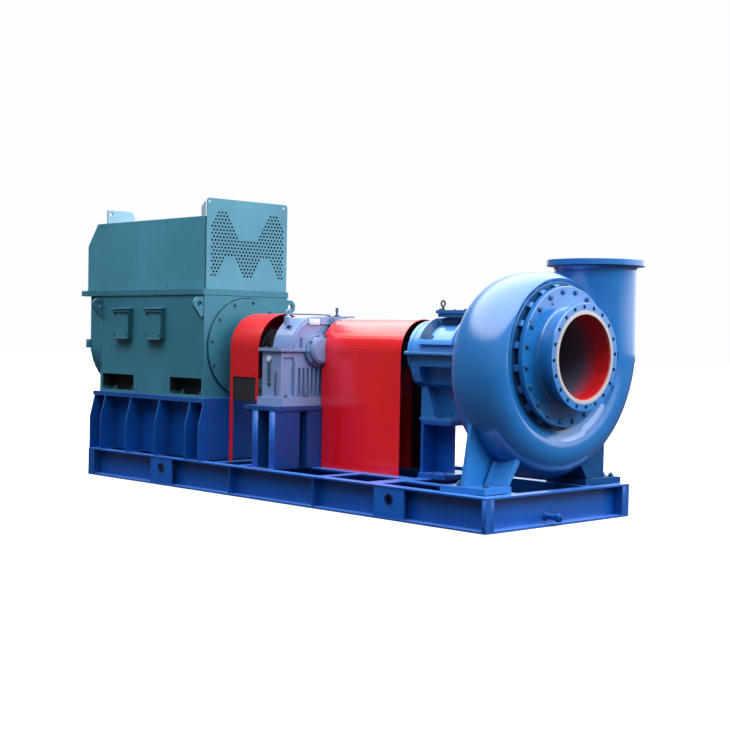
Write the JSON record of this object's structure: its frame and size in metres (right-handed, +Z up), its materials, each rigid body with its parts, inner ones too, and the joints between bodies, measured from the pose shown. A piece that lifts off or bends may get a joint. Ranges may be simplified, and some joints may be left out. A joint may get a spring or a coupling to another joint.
{
  "type": "slurry pump set",
  "caption": "Motor-driven slurry pump with gearbox, coupling guards and bearing frame on a welded base frame.",
  "frame": {"origin": "centre of the bottom of the whole set, on the floor", "axes": "+X along the shafts towards the suction flange, +Y across towards the discharge side, +Z up"},
  "size_m": [5.357, 1.9724, 2.522],
  "materials": {
    "base_blue": "satin paint on welded steel",
    "pump_blue": "gloss paint on castings",
    "motor_green": "satin paint on sheet steel",
    "guard_red": "gloss paint on bent sheet",
    "gearbox_grey": "semi-gloss paint on cast iron",
    "liner_red": "red primer on the liner",
    "ring_grey": "machined sealing face",
    "dark_steel": "oiled steel and iron"
  },
  "bodies": {
    "root": {"base_cross_gearbox": "base_blue", "base_cross_guard": "base_blue", "base_cross_pump": "base_blue", "base_end_motor": "base_blue", "base_end_pump": "base_blue", "base_rail_far": "base_blue", "base_rail_near": "base_blue", "bearing_housing": "pump_blue", "bearing_lid": "pump_blue", "bearing_pedestal": "base_blue", "cooler_box": "motor_green", "cooler_ear_plate": "motor_green", "cooler_outlet_panel": "motor_green", "coupling_guard_motor": "guard_red", "coupling_guard_pump": "guard_red", "discharge_pipe": "pump_blue", "drain_pipe": "base_blue", "gearbox_cap_input_end": "gearbox_grey", "gearbox_lower": "gearbox_grey", "gearbox_pedestal": "base_blue", "gearbox_upper": "gearbox_grey", "guard_rail_far": "base_blue", "guard_rail_near": "base_blue", "impeller_eye": "dark_steel", "lifting_pad_far_motor": "base_blue", "lifting_pad_far_pump": "base_blue", "lifting_pad_near_motor": "base_blue", "lifting_pad_near_pump": "base_blue", "motor_bed_end_gearbox": "base_blue", "motor_bed_end_motor": "base_blue", "motor_bed_plate": "base_blue", "motor_bed_side_far": "base_blue", "motor_bed_side_near": "base_blue", "motor_body": "motor_green", "motor_coupling": "dark_steel", "motor_endshield": "motor_green", "motor_fan_housing": "motor_green", "motor_hatch_1": "motor_green", "motor_hatch_2": "motor_green", "motor_ledge": "motor_green", "motor_lug_far_drive": "motor_green", "motor_lug_far_fan": "motor_green", "motor_lug_near_drive": "motor_green", "motor_lug_near_fan": "motor_green", "motor_seat_rail": "base_blue", "pump_casing": "pump_blue", "pump_coupling": "dark_steel", "pump_foot_far": "pump_blue", "pump_foot_near": "pump_blue", "pump_seat_rail_far": "base_blue", "pump_seat_rail_near": "base_blue", "shaft_gland": "pump_blue", "suction_cover": "pump_blue", "suction_liner": "liner_red", "suction_ring": "ring_grey"}
  },
  "joints": []
}
